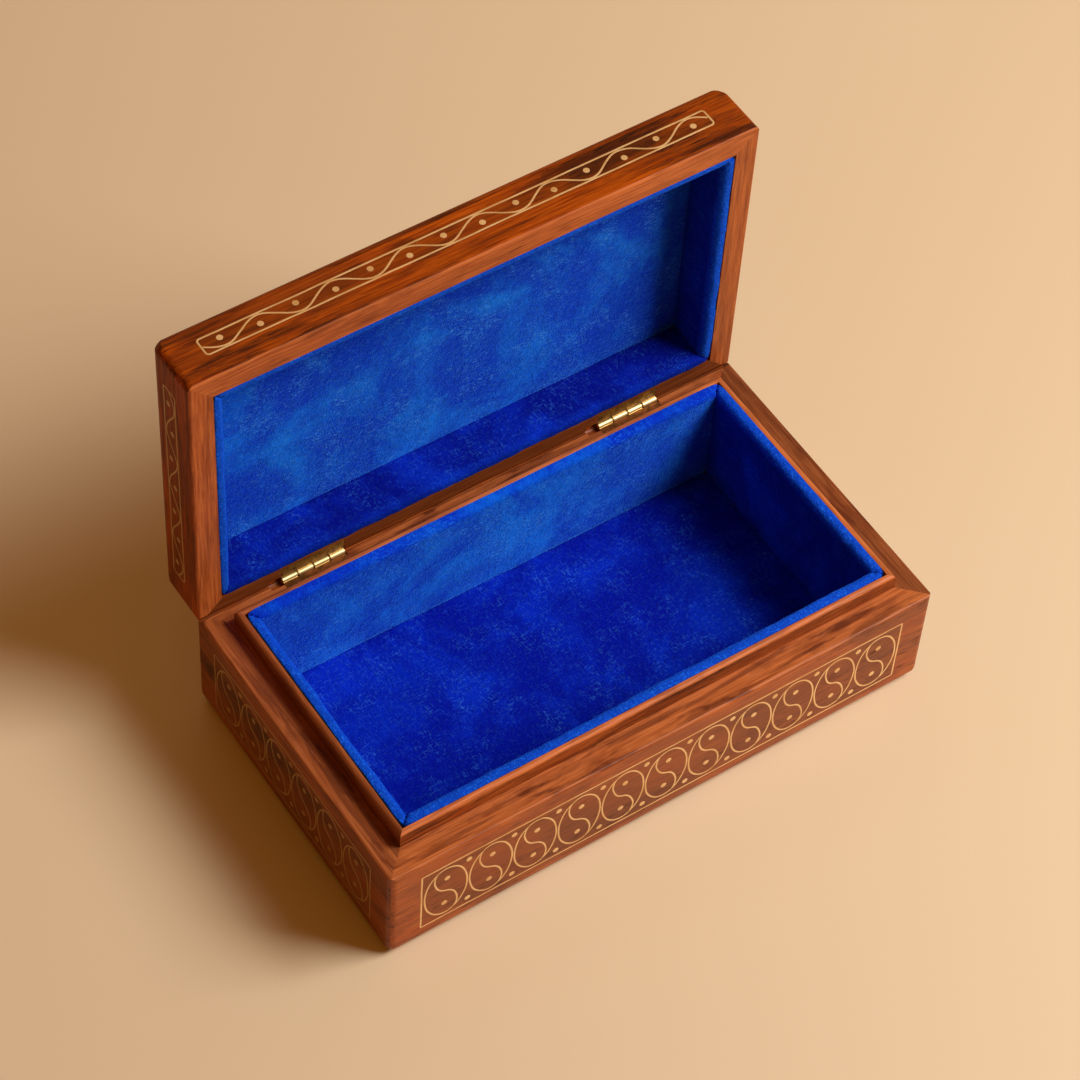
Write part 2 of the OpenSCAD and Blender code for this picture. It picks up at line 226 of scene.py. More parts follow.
def rosewood(name, along, shift, tone, dark, wood_finish, rim, panel=None):
    """Rosewood with its grain along an axis. shift moves the pattern in metres, so that no two
    boards are alike; tone lightens the wood, and dark strengthens its veins. rim is the axis and
    the height of the bare planed edge, how pale that is, and how streaky. panel is the box of an
    inlaid border, inside which the wood is a little darker from the filing."""
    dull, bright, gloss = wood_finish
    material, place, shader = finish(name, Coat_Weight=0.3 * gloss, Coat_Roughness=0.25,
                                     Specular_IOR_Level=gloss)
    wood = place.placed(shift=shift, turn=GRAIN_TURNS[along])
    drift = wood.placed(scale=(9, 70, 70)).cloud(1.0, 3.0)
    wide = wood.placed(scale=(9, 75, 75), shift=(3, 1, 2)).cloud(1.0, 5.0, 0.62, 0.6)
    mottle = wood.placed(scale=(60, 170, 170), shift=(8, 4, 6)).cloud(1.0, 3.0, 0.6)
    patch = wood.placed(scale=(32, 55, 55), shift=(5, 9, 1)).cloud(1.0, 3.0, 0.55)
    streak = wood.placed(scale=(38, 420, 420), shift=(2, 7, 3)).cloud(1.0, 4.0, 0.6, 0.4)
    fibre = wood.placed(scale=(60, 1500, 1500)).cloud(1.0, 3.0, 0.65)
    pore = wood.placed(scale=(190, 2100, 2100), shift=(1, 5, 9)).cloud(1.0, 1.0)
    across = wood.axis(1) * 60 + wood.axis(2) * 330 + drift * 10
    late = across.maths("FRACT") ** 2
    pores = pore.between(0.56, 0.66) * wide.between(0.30, 0.70)
    veins = wide.between(0.46, 0.66) * (0.85 * dark) + late * (0.22 * dark)
    veins = veins + streak.between(0.54, 0.66) * (0.45 * dark)
    colour = fibre.between(0.30, 0.70).mix(dull, bright)
    colour = (mottle.between(0.45, 0.70) * 0.5).mix(colour, (0.40, 0.062, 0.006))
    colour = (patch.between(0.46, 0.66) * 0.35).mix(colour, (0.115, 0.026, 0.006))
    colour = veins.maths("MINIMUM", 0.92).mix(colour, (0.075, 0.014, 0.003))
    colour = (pores * 0.75).mix(colour, (0.026, 0.006, 0.002))
    colour = tinted(colour, tone)
    if panel is not None:
        colour = (within(place, panel) * 0.30).mix(colour, (0.085, 0.020, 0.002))
    axis, height, pale, streaky = rim
    planed = place.axis(axis) - height
    planed = planed.maths("ABSOLUTE").between(EDGE_BAND, EDGE_CORE)
    bare = tinted(fibre.between(0.3, 0.7).mix((0.42, 0.100, 0.022), (0.66, 0.190, 0.050)), pale)
    stain = mottle.between(0.50, 0.66) * 0.5 + streak.between(0.50, 0.60) * 0.6
    bare = (stain * streaky).mix(bare, (0.120, 0.022, 0.005))
    colour = (planed * 0.85).mix(colour, bare)
    feed(shader, Base_Color=colour, Roughness=fibre * 0.18 + pores * 0.2 + 0.38,
         Normal=bump(fibre * 0.35 + streak * 0.8 - pores, 0.45, 0.00012))
    return material


for name, along, shift, tone, dark, wood_finish, pale in (
        ("base_front_board", "x", (0.11, 0.020, 0.031), 1.12, 0.45, POLISHED, 0.92),
        ("base_back_board", "x", (0.52, 0.040, 0.043), 0.95, 1.0, POLISHED, 0.85),
        ("base_left_board", "y", (0.23, 0.012, 0.037), 0.85, 1.0, POLISHED, 0.70),
        ("base_right_board", "y", (0.74, 0.051, 0.022), 0.66, 1.0, POLISHED, 0.50),
        ("base_bottom_board", "x", (0.33, 0.092, 0.011), 0.9, 0.8, POLISHED, 0.9),
        ("lid_front_board", "x", (0.91, 0.017, 0.060), 0.76, 1.15, OILED, 1.05),
        ("lid_back_board", "x", (0.42, 0.061, 0.013), 0.8, 1.0, OILED, 0.32),
        ("lid_left_board", "z", (0.15, 0.033, 0.071), 0.72, 1.0, OILED, 1.0),
        ("lid_right_board", "z", (0.63, 0.027, 0.052), 0.8, 1.0, OILED, 0.85),
        ("lid_top_board", "x", (0.81, 0.074, 0.019), 0.8, 1.0, OILED, 0.9)):
    rim = (1, lid_rim_y, pale, 0.45) if name.startswith("lid") else (2, base_rim_z, pale, 1.0)
    border = name.replace("_board", "_border")
    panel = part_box(border) if border in nodes else None
    board = nodes[name].data
    board.materials.clear()
    board.materials.append(rosewood("rosewood_" + name, along, shift, tone, dark, wood_finish, rim,
                                    panel))

# ---- lip -----------------------------------------------------------------------------------
# Four thin strips glued inside the base walls stand up past the rim, so that the lid finds its
# place. Their tops are rounded over and rubbed pale by the lid.

cavity_hi = Vector((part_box("lip_right")[0].x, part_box("lip_back")[0].y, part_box("lip_front")[1].z))


def piece(name, bm, material, body, slot, *replaced):
    """The finished mesh as an object that rides on a body and stands for CAD nodes."""
    bmesh.ops.recalc_face_normals(bm, faces=bm.faces)
    mesh = bpy.data.meshes.new(name)
    bm.to_mesh(mesh)
    bm.free()
    mesh.shade_smooth()
    mesh.set_sharp_from_angle(angle=math.radians(42))
    mesh.materials.append(material)
    made = bpy.data.objects.new(name, mesh)
    bpy.context.scene.collection.objects.link(made)
    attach(made, body)
    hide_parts(*replaced)
    return made


def bar(lo, hi):
    """A box from corner to corner."""
    bm = bmesh.new()
    bmesh.ops.create_cube(bm, size=1)
    bmesh.ops.scale(bm, vec=Vector(hi) - Vector(lo), verts=bm.verts)
    bmesh.ops.translate(bm, vec=(Vector(lo) + Vector(hi)) / 2, verts=bm.verts)
    return bm


def edges_where(bm, test):
    """The edges whose two ends pass the test."""
    return [e for e in bm.edges if test(e.verts[0].co, e.verts[1].co)]


def bevelled(bm, edges, width, steps):
    bmesh.ops.bevel(bm, geom=edges, offset=width, segments=steps, profile=0.5, affect="EDGES",
                    material=-1)


def mitre(bm, half_run, reach, turn):
    """Cuts a bar that lies along the front of a room at 45 degrees at both its ends, and turns it
    to its own side of the room."""
    for way in (-1, 1):
        cut = bmesh.ops.bisect_plane(bm, geom=bm.verts[:] + bm.edges[:] + bm.faces[:],
                                     plane_co=(way * half_run, -reach, 0), plane_no=(way, 1, 0),
                                     clear_outer=True)
        rim = [e for e in cut["geom_cut"] if isinstance(e, bmesh.types.BMEdge)]
        bmesh.ops.holes_fill(bm, edges=rim)
    bmesh.ops.rotate(bm, matrix=Matrix.Rotation(turn, 3, "Z"), verts=bm.verts)


LONG_EDGE, LEVEL = 10 * MM, 1e-6
LIP_ROUND, LIP_ARRIS = 1.3 * MM, 0.2 * MM
# Each strip's pattern shift and tone. The left strip's tone of 0.6 is painted shade: the whole strip,
# its rubbed top too, is darkened because its outer face turns away from the lamp.
LIP_WOOD_AND_SHADE = {"front": ((0.07, 0.031, 0.055), 1.0), "back": ((0.27, 0.041, 0.025), 1.0),
            "left": ((0.39, 0.057, 0.029), 0.6), "right": ((0.59, 0.037, 0.019), 0.9)}
SIDES = (("front", 0), ("right", 1), ("back", 2), ("left", 3))
lip_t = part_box("lip_front")[1].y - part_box("lip_front")[0].y
for side, turns in SIDES:
    lo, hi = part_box("lip_" + side)
    run_axis, across_axis = (0, 1) if turns % 2 == 0 else (1, 0)
    half_run, reach = hi[run_axis], max(abs(lo[across_axis]), abs(hi[across_axis]))
    bm = bar((-half_run, -reach, lo.z), (half_run, -reach + lip_t, hi.z))
    top = edges_where(bm, lambda a, b: min(a.z, b.z) > hi.z - LEVEL and abs(a.x - b.x) > LONG_EDGE)
    outer = [e for e in top if e.verts[0].co.y < -reach + LEVEL]
    inner = [e for e in top if e.verts[0].co.y > -reach + LEVEL]
    bevelled(bm, outer, LIP_ROUND, 5)
    bevelled(bm, inner, LIP_ARRIS, 2)
    mitre(bm, half_run, reach, turns * math.pi / 2)
    shift, tone = LIP_WOOD_AND_SHADE[side]
    worn = (2, hi.z - 0.1 * MM, 1.25 * tone, 0.5)
    wood = rosewood("lip_wood_" + side, "xy"[run_axis], shift, tone, 0.8, POLISHED, worn)
    piece("lip_strip_" + side, bm, wood, "base", "lip_wood", "lip_" + side)

# ---- velvet lining -------------------------------------------------------------------------
# Cards padded with wadding and covered in royal blue velvet are glued to the floor and the walls.
# The velvet is drawn over their top edges, where it makes a soft roll, painted lighter with pale
# flecks as a sheen.

# Four copies of one velvet whose colours stand in for light and shade. The first, for the side walls,
# is painted darker as shade, with little lint. The second, for the base's back wall and the lid's
# ceiling, is painted lighter. The third, for the floor, is the plain one. The last, for the lid's back
# wall, is painted darkest as shade.
SIDE_WALL_NAP_SHADED = {"deep": (0.0008, 0.010, 0.30), "lit": (0.003, 0.055, 0.62), "sheen": 0.3,
                "lint": 0.05}
PAINTED_LIGHT_NAP = {"deep": (0.0006, 0.026, 0.64), "lit": (0.003, 0.200, 1.0), "sheen": 1.0,
             "lint": 0.17}
FLAT_NAP = {"deep": (0.0005, 0.006, 0.36), "lit": (0.001, 0.030, 0.66), "sheen": 0.1,
            "lint": 0.05}
SHADY_NAP = {"deep": (0.0004, 0.004, 0.25), "lit": (0.001, 0.026, 0.56), "sheen": 0.1,
             "lint": 0.045}
EDGE_START, EDGE_FULL = -3.4 * MM, -0.6 * MM


def velvet(name, edge, edge_light, deep, lit, sheen, lint):
    """Velvet painted lighter as a sheen within a few millimetres of the plane edge: its axis, its
    height, and the way outward; edge_light is how strong that is. deep and lit are the colours where
    the nap is brushed one way and the other; lint is the share of pale fibres."""
    material, place, shader = finish(name, Sheen_Weight=sheen, Sheen_Roughness=0.35,
                                     Sheen_Tint=(0.05, 0.32, 1.0, 1), Specular_IOR_Level=0.05)
    nap = place.cloud(30, 4.0, 0.62, 0.6)
    brushed = place.placed(scale=(1, 1, 0.6), turn=(0.3, 0.2, 0.5)).cloud(95, 3.0, 0.6)
    tuft = place.cloud(750, 2.0, 0.7)
    fuzz = place.cloud(1900, 2.0, 0.7)
    axis, height, way = edge
    # painted sheen: a band within a few millimetres of the rolled edge
    painted_sheen_band = ((place.axis(axis) - height) * way).between(EDGE_START, EDGE_FULL)
    light = nap.between(0.44, 0.68) * 0.7 + brushed.between(0.48, 0.75) * 0.4
    colour = light.mix(deep, lit)
    # painted sheen: the velvet made lighter along the roll, less so where edge_light is small
    colour = (painted_sheen_band * (0.8 * edge_light)).mix(colour, (0.004, 0.078, 0.74))
    colour = (tuft.between(0.45, 0.75) * 0.3).mix(colour, (0.0005, 0.008, 0.20))
    lying = place.placed(scale=(600, 2300, 2300), turn=(0.4, 0.7, 0.5)).cloud(1.0, 2.0)
    crossing = place.placed(scale=(2300, 600, 2300), turn=(0.9, 0.3, 0.2)).cloud(1.0, 2.0)
    strands = lying.between(0.56, 0.68) + crossing.between(0.56, 0.68)
    strands = strands + fuzz.between(0.56, 0.70) * 0.5
    ruffled = place.cloud(120, 2.0).between(0.46, 0.68)
    # painted sheen too: more pale flecks on the roll, in their own deeper blue
    strands = strands * (lint + 0.6 * painted_sheen_band * edge_light + (light * 1.6 + ruffled * 2.6) * lint)
    strands = strands.maths("MINIMUM", 1.0)
    colour = strands.mix(colour, painted_sheen_band.mix((0.07, 0.33, 1.0), (0.012, 0.16, 0.95)))
    feed(shader, Base_Color=colour, Roughness=fuzz * 0.2 + 0.75,
         Normal=bump(fuzz * 0.9 + tuft * 1.1 + brushed * 1.5, 0.7, 0.0005))
    return material


ROLL_T = 3.3 * MM
ROLL_SHARE, ROLL_BACK = 0.48, 0.55 * MM
OVERLAP, CORNER_BEND = 0.35 * MM, 2.8 * MM
WALL_CELL, RUN_CELL, FLAT_CELL = 2.4 * MM, 1.6 * MM, 2.6 * MM
TUCK, CROWN = 0.6 * MM, 0.25


def along_rim(bm, height):
    """The long edges of a bar at this height."""
    return edges_where(bm, lambda a, b: abs(a.z - height) < LEVEL and abs(b.z - height) < LEVEL
                       and abs(a.x - b.x) > LONG_EDGE)


def wall_pad(half_run, reach, low, high, roll_at_top, turn, seed):
    """A padded card along one wall of a room, mitred into its neighbours, with its free edge
    rolled and the corners of the roll rounded."""
    roll, height = ROLL_SHARE * ROLL_T, high - low
    bm = bar((-half_run, -reach, low), (half_run, -reach + ROLL_T, high))
    free = high if roll_at_top else low
    inner = [e for e in along_rim(bm, free) if e.verts[0].co.y > -reach + 0.5 * ROLL_T]
    bevelled(bm, inner, roll * 1.15, 6)
    outer = [e for e in along_rim(bm, free) if e.verts[0].co.y < -reach + LEVEL]
    bevelled(bm, outer, ROLL_BACK, 3)
    tall = edges_where(bm, lambda a, b: abs(a.z - b.z) > 0.5 * height)
    bmesh.ops.subdivide_edges(bm, edges=tall, cuts=int(height / WALL_CELL), use_grid_fill=True)
    long = edges_where(bm, lambda a, b: abs(a.x - b.x) > LONG_EDGE)
    bmesh.ops.subdivide_edges(bm, edges=long, cuts=int(2 * half_run / RUN_CELL),
                              use_grid_fill=True)
    for v in bm.verts:
        at = Vector((v.co.x, v.co.z, seed))
        near_rim = abs(v.co.z - free) < roll
        soft = noise.noise(at * 60) * 0.30 + noise.noise(at * 190) * 0.14
        if v.co.y > -reach + 0.4 * ROLL_T:
            v.co.y += soft * MM
        if near_rim:
            tufty = noise.noise(at * 420) * 0.20
            v.co.y += tufty * MM
            v.co.z += (0.5 * soft + tufty) * MM
    mitre(bm, half_run + OVERLAP, reach, 0)
    for v in bm.verts:
        for way in (-1, 1):
            dx, dy = way * v.co.x - half_run + CORNER_BEND, -reach + CORNER_BEND - v.co.y
            if dx > 0 and dy > 0:
                shrink = max(dx, dy) / math.hypot(dx, dy)
                v.co.x = way * (half_run - CORNER_BEND + dx * shrink)
                v.co.y = -reach + CORNER_BEND - dy * shrink
    bmesh.ops.rotate(bm, matrix=Matrix.Rotation(turn, 3, "Z"), verts=bm.verts)
    return bm


def flat_pad(lo, hi, crown_way, seed):
    """A padded card that lies flat: crowned on the side that shows, with its edges tucked in."""
    bm = bar(lo, hi)
    face = hi.z if crown_way > 0 else lo.z
    rim = edges_where(bm, lambda a, b: abs(a.z - face) < LEVEL and abs(b.z - face) < LEVEL)
    bevelled(bm, rim, TUCK, 3)
    for axis in (0, 1):
        run = edges_where(bm, lambda a, b: abs(a[axis] - b[axis]) > 2 * LONG_EDGE)
        cuts = int((hi[axis] - lo[axis]) / FLAT_CELL)
        bmesh.ops.subdivide_edges(bm, edges=run, cuts=cuts, use_grid_fill=True)
    for v in bm.verts:
        if abs(v.co.z - face) < 0.7 * MM:
            u = (v.co.x - lo.x) / (hi.x - lo.x), (v.co.y - lo.y) / (hi.y - lo.y)
            inside = min(1, 14 * min(u[0], 1 - u[0], u[1], 1 - u[1]))
            at = Vector((v.co.x, v.co.y, seed))
            soft = noise.noise(at * 38) * 0.35 + noise.noise(at * 120) * 0.16
            v.co.z += crown_way * (CROWN + soft) * inside * MM
    return bm


def soften(pad):
    smooth = pad.modifiers.new("smooth", "SUBSURF")
    smooth.levels = smooth.render_levels = 1
    pad.data.shade_smooth()


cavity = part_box("base_floor_lining")
roll_top = cavity_hi.z + 0.45 * MM
base_velvet = velvet("blue_velvet_base", (2, roll_top, 1), 1.0, **SIDE_WALL_NAP_SHADED)
base_back_velvet = velvet("blue_velvet_base_back", (2, roll_top, 1), 0.15, **PAINTED_LIGHT_NAP)
for side, turns in SIDES:
    half_run, reach = (cavity_hi.x, cavity_hi.y) if turns % 2 == 0 else (cavity_hi.y, cavity_hi.x)
    bm = wall_pad(half_run, reach, cavity[1].z - 1.0 * MM, roll_top, True, turns * math.pi / 2,
                  turns + 0.5)
    cloth = base_back_velvet if side == "back" else base_velvet
    pad = piece("velvet_base_" + side, bm, cloth, "base", "blue_velvet", f"base_{side}_lining")
    soften(pad)

inset = Vector((2.6, 2.6, 0)) * MM
no_edge = (2, 1.0, 1)
bm = flat_pad(cavity[0] + inset, cavity[1] - inset, 1, 7.5)
cloth = velvet("blue_velvet_floor", no_edge, 1.0, **FLAT_NAP)
pad = piece("velvet_base_floor", bm, cloth, "base", "blue_velvet", "base_floor_lining")
soften(pad)

# The lid's pieces are made in the closed box and then swung open about the hinge's axis.
at_hinge = Matrix.Translation(frame["joints"][0]["pos_m"])
open_lid = at_hinge @ Matrix.Rotation(math.radians(-90), 4, "X") @ at_hinge.inverted()
shut_lid = open_lid.inverted()
ceiling = [shut_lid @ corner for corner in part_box("lid_ceiling_lining")]
room_hi = Vector((max(c.x for c in ceiling), max(c.y for c in ceiling), min(c.z for c in ceiling)))
ceiling_top = max(c.z for c in ceiling)
rim_z = (shut_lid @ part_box("lid_front_board")[0]).z
lid_edge = (1, (open_lid @ Vector((0, 0, rim_z))).y, -1)
lid_velvet = velvet("blue_velvet_lid", lid_edge, 1.0, **SIDE_WALL_NAP_SHADED)
lid_back_velvet = velvet("blue_velvet_lid_back", lid_edge, 0.1, **SHADY_NAP)
for side, turns in SIDES:
    half_run, reach = (room_hi.x, room_hi.y) if turns % 2 == 0 else (room_hi.y, room_hi.x)
    bm = wall_pad(half_run, reach, rim_z + 0.1 * MM, room_hi.z + 1.0 * MM, False,
                  turns * math.pi / 2, turns + 20.5)
    bmesh.ops.transform(bm, matrix=open_lid, verts=bm.verts)
    cloth = lid_back_velvet if side == "back" else lid_velvet
    pad = piece("velvet_lid_" + side, bm, cloth, "lid", "blue_velvet", f"lid_{side}_lining")
    soften(pad)
    wall = Vector((math.sin(turns * math.pi / 2), -math.cos(turns * math.pi / 2), 0))
    open_lid @ (wall * reach)
    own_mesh(pad)

low = Vector((-room_hi.x, -room_hi.y, room_hi.z))
bm = flat_pad(low + inset, Vector((room_hi.x, room_hi.y, ceiling_top)) - inset, -1, 9.5)
bmesh.ops.transform(bm, matrix=open_lid, verts=bm.verts)
cloth = velvet("blue_velvet_ceiling", no_edge, 1.0, **PAINTED_LIGHT_NAP)
pad = piece("velvet_lid_ceiling", bm, cloth, "lid", "blue_velvet", "lid_ceiling_lining")
soften(pad)

# ---- hinges --------------------------------------------------------------------------------
# Two small brass butt hinges are let into the rims. Their leaves have gone dark, the base leaf
# darker still as painted shade, and are held by three round nails each; their rolled knuckles turn
# on a pin and are rubbed bright.

LEAF_T, KNUCKLE_R, PIN_R, KNUCKLES, KNUCKLE_GAP = 0.7 * MM, 0.88 * MM, 0.42 * MM, 4, 0.36 * MM
LEAF_GAP, LEAF_ARRIS = 0.12 * MM, 0.12 * MM
NAIL_SHARES, NAIL_REACH = (0.16, 0.5, 0.84), 0.62
NAIL_R, NAIL_PROUD, NAIL_SUNK, SHANK = 0.85 * MM, 0.07 * MM, 0.03 * MM, 0.25 * MM
PIN_PLAY, PIN_END = 0.02 * MM, 0.15 * MM
AXIS = Vector(frame["joints"][0]["pos_m"])

hinge_brass, place, shader = finish("hinge_brass", Specular_IOR_Level=0.5)
radial = (place.axis(1) - AXIS.y) ** 2 + (place.axis(2) - AXIS.z) ** 2
rubbed = radial.between((KNUCKLE_R + 0.17 * MM) ** 2, (KNUCKLE_R + 0.02 * MM) ** 2)
tarnish = place.cloud(500, 3.0, 0.6)
# Partly painted shade: the base leaf, below the pin's axis, is darker than the lid leaf, as the lip's
# shade falls on it; both leaves are tarnished as well.
upper = place.axis(2).between(AXIS.z - 0.05 * MM, AXIS.z + 0.05 * MM)
aged_and_shaded = upper.mix((0.300, 0.095, 0.020), (0.400, 0.200, 0.030))
dark_leaf = tarnish.between(0.35, 0.70).mix(aged_and_shaded, (0.130, 0.050, 0.008))
bright = tarnish.between(0.35, 0.80).mix((1.0, 0.82, 0.42), (0.95, 0.70, 0.30))
feed(shader, Base_Color=rubbed.mix(dark_leaf, bright), Metallic=rubbed * 0.25 + 0.6,
     Roughness=0.52 - rubbed * 0.06, Normal=bump(place.cloud(1500, 3.0), 0.12, 0.0001))


def joined(parts):
    """Several bmeshes made one."""
    whole = bmesh.new()
    for part in parts:
        scratch = bpy.data.meshes.new("scratch")
        part.to_mesh(scratch)
        part.free()
        whole.from_mesh(scratch)
        bpy.data.meshes.remove(scratch)
    return whole


def turned_part(outline):
    """The closed outline, pairs of place along the hinge and radius, turned about the pin."""
    bm = bmesh.new()
    corners = [bm.verts.new((x, radius, 0)) for x, radius in outline]
    for first, second in zip(corners, corners[1:] + corners[:1]):
        bm.edges.new((first, second))
    bmesh.ops.spin(bm, geom=bm.verts[:] + bm.edges[:], cent=(0, 0, 0), axis=(1, 0, 0),
                   angle=math.tau, steps=24, use_merge=True)
    bmesh.ops.remove_doubles(bm, verts=bm.verts, dist=1e-6)
    bmesh.ops.translate(bm, vec=(0, AXIS.y, AXIS.z), verts=bm.verts)
    return bm


def knuckle(start, end):
    """A rolled barrel round the pin, with its ends eased."""
    chamfer = 0.14 * MM
    return turned_part(((start, PIN_R), (end, PIN_R), (end, KNUCKLE_R - chamfer),
                        (end - chamfer, KNUCKLE_R), (start + chamfer, KNUCKLE_R),
                        (start, KNUCKLE_R - chamfer)))


def hinge_half(left, length, leaf_w, face_z, wood_way, first):
    """One leaf with its knuckles, in the closed box. wood_way is 1 where the wood is above it.
    A narrow neck joins each knuckle to the leaf."""
    low, high = sorted((face_z, face_z + wood_way * LEAF_T))
    edge = AXIS.y - KNUCKLE_R - LEAF_GAP
    leaf = bar((left, AXIS.y - leaf_w, low), (left + length, edge, high))
    bevelled(leaf, leaf.edges[:], LEAF_ARRIS, 2)
    parts = [leaf]
    pitch = (length + KNUCKLE_GAP) / KNUCKLES
    for k in range(first, KNUCKLES, 2):
        start, end = left + k * pitch, left + (k + 1) * pitch - KNUCKLE_GAP
        parts.append(bar((start + 0.1 * MM, edge - 0.3 * MM, low + 0.08 * MM),
                         (end - 0.1 * MM, AXIS.y - 0.5 * MM, high - 0.08 * MM)))
        parts.append(knuckle(start, end))
    return joined(parts)


def nail_heads(leaf_boxes, leaf_w, face_z, wood_way):
    """Domed heads of the nails that hold the leaves, with the shanks in the wood."""
    parts = []
    for (lo, hi), share in ((box, share) for box in leaf_boxes for share in NAIL_SHARES):
        at = Vector((lo.x + share * (hi.x - lo.x), AXIS.y - NAIL_REACH * leaf_w, face_z))
        dome = bmesh.new()
        bmesh.ops.create_uvsphere(dome, u_segments=20, v_segments=10, radius=NAIL_R)
        bmesh.ops.bisect_plane(dome, geom=dome.verts[:] + dome.edges[:] + dome.faces[:],
                               plane_co=(0, 0, 0), plane_no=(0, 0, -1), clear_outer=True)
        bmesh.ops.scale(dome, vec=(1, 1, (NAIL_PROUD + NAIL_SUNK) / NAIL_R), verts=dome.verts)
        rim = [e for e in dome.edges if e.is_boundary]
        sunk = bmesh.ops.extrude_edge_only(dome, edges=rim)["geom"]
        bmesh.ops.translate(dome, vec=(0, 0, -SHANK),
                            verts=[v for v in sunk if isinstance(v, bmesh.types.BMVert)])
        bmesh.ops.holes_fill(dome, edges=[e for e in dome.edges if e.is_boundary])
        if wood_way > 0:
            bmesh.ops.rotate(dome, matrix=Matrix.Rotation(math.pi, 3, "X"), verts=dome.verts)
        bmesh.ops.translate(dome, vec=at + Vector((0, 0, wood_way * NAIL_SUNK)), verts=dome.verts)
        parts.append(dome)
    return joined(parts)


ON_AXIS = 1e-7
leaf_boxes = [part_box("base_leaf_left"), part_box("base_leaf_right")]
leaf_w = AXIS.y - leaf_boxes[0][0].y
for side, (lo, hi) in zip(("left", "right"), leaf_boxes):
    length = hi.x - lo.x
    bm = hinge_half(lo.x, length, leaf_w, base_rim_z, -1, 0)
    piece("hinge_half_base_" + side, bm, hinge_brass, "base", "hinge_brass", "base_leaf_" + side)
    bm = hinge_half(lo.x, length, leaf_w, rim_z, 1, 1)
    bmesh.ops.transform(bm, matrix=open_lid, verts=bm.verts)
    piece("hinge_half_lid_" + side, bm, hinge_brass, "lid", "hinge_brass", "lid_leaf_" + side)
    pin_r = PIN_R - PIN_PLAY
    bm = turned_part(((lo.x, ON_AXIS), (lo.x, PIN_R - PIN_END), (lo.x + PIN_END, pin_r),
                      (hi.x - PIN_END, pin_r), (hi.x, PIN_R - PIN_END), (hi.x, ON_AXIS)))
    piece("hinge_pin_wire_" + side, bm, hinge_brass, "base", "hinge_brass", "hinge_pin_" + side)
bm = nail_heads(leaf_boxes, leaf_w, base_rim_z, -1)
piece("hinge_nails_base", bm, hinge_brass, "base", "hinge_brass", "base_leaf_nails")
bm = nail_heads(leaf_boxes, leaf_w, rim_z, 1)
bmesh.ops.transform(bm, matrix=open_lid, verts=bm.verts)
piece("hinge_nails_lid", bm, hinge_brass, "lid", "hinge_brass", "lid_leaf_nails")

# ---- wire inlay ----------------------------------------------------------------------------
# Brass wire is tapped into cuts in the wood and filed almost flush: rows of ovals with an S in
# each on the base and the lid's top, and a winding stem between two lines round the lid's sides.

WIRE_W, PROUD, PIN_HEAD_R = 0.54 * MM, 0.05 * MM, 0.95 * MM
OVAL_SHARE, END_SPACE, OVAL_SPACE = 0.9, 0.6 * MM, 0.2 * MM
RING_POINTS, WAVE_POINTS = 44, 22
HAND, HAND_SEED = 0.13 * MM, 7
SHARP_CORNER, SOFT_CORNER, WIRE_IN = 0.3 * MM, 0.9 * MM, 0.25 * MM
STEM_IN, STEM_END = 0.55 * MM, 0.4 * MM
PIN_DEEP, PIN_SUNK, DOME_STEPS = 0.4 * MM, 0.19 * MM, (0.028 * MM, 0.012 * MM)
PIN_IN_OVAL, PIN_BETWEEN, PIN_BY_STEM = (0.05, 0.54), 0.89, 0.24
S_HALF = ((-0.37, 0.93), (-0.50, 0.80), (-0.55, 0.63), (-0.52, 0.45), (-0.39, 0.23), (-0.20, 0.08))
INLAID_FACES = {
    "base_front": ("base", (1, 0, 0), (0, 0, 1), (0, -1, 0), 11),
    "base_back": ("base", (-1, 0, 0), (0, 0, 1), (0, 1, 0), 11),
    "base_left": ("base", (0, -1, 0), (0, 0, 1), (-1, 0, 0), 6),
    "base_right": ("base", (0, 1, 0), (0, 0, 1), (1, 0, 0), 6),
    "lid_top": ("lid", (1, 0, 0), (0, 0, -1), (0, 1, 0), 7),
    "lid_front": ("lid", (1, 0, 0), (0, 1, 0), (0, 0, 1), 7.0),
    "lid_back": ("lid", (-1, 0, 0), (0, 1, 0), (0, 0, -1), 7.0),
    "lid_left": ("lid", (0, 0, 1), (0, 1, 0), (-1, 0, 0), 3.5),
    "lid_right": ("lid", (0, 0, -1), (0, 1, 0), (1, 0, 0), 3.5)}

inlay_brass, place, shader = finish("inlay_brass", Specular_IOR_Level=0.5)
tarnish = place.cloud(140, 3.0)
bright_wire = tarnish.between(0.35, 0.75).mix((0.95, 0.64, 0.30), (0.78, 0.46, 0.17))
# Painted shade: the wires at the left end, on the box's left faces that turn away from the lamp, are
# darkened toward a dull brown.
shaded_left_end = place.axis(0).between(-88 * MM, -89.5 * MM)
feed(shader, Base_Color=(shaded_left_end * 0.7).mix(bright_wire, (0.30, 0.15, 0.035)),
     Metallic=tarnish * 0.3 + 0.4, Roughness=place.cloud(600, 2.0) * 0.2 + 0.3)

section = bpy.data.objects.new("section", bpy.data.curves.new("section", "CURVE"))
bpy.context.scene.collection.objects.link(section)
spline = section.data.splines.new("POLY")
outline = ((-0.5, -7), (-0.5, 0.1), (-0.28, 0.95), (0.28, 0.95), (0.5, 0.1), (0.5, -7))
spline.points.add(len(outline) - 1)
for point, (x, y) in zip(spline.points, outline):
    point.co = (x * WIRE_W, y * PROUD, 0, 1)
spline.use_cyclic_u = True


